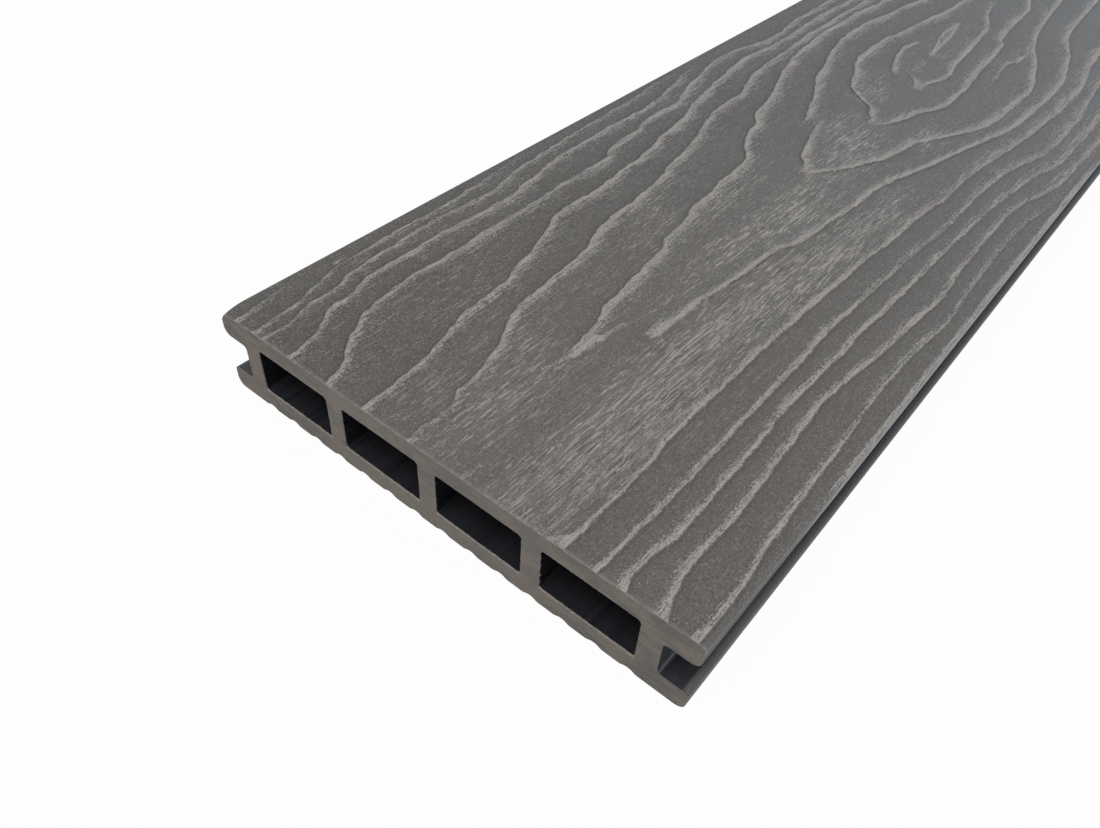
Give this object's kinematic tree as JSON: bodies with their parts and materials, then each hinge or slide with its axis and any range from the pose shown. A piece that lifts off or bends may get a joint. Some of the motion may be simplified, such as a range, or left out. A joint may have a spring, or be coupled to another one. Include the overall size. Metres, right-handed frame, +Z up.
{
  "type": "hollow composite decking board",
  "caption": "Long flat hollow composite deck board with an embossed grain on top, square chambers inside and a clip groove along each edge.",
  "frame": {"origin": "middle of the underside, on the plane of the flat lands that the board rests on", "axes": "+X across the width, +Y along the length, +Z up out of the walking face"},
  "size_m": [0.15, 2.2, 0.025],
  "materials": {
    "composite": "matt warm grey wood-plastic composite, embossed with a wood grain on top"
  },
  "bodies": {
    "root": {"decking_board": "composite"}
  },
  "joints": []
}
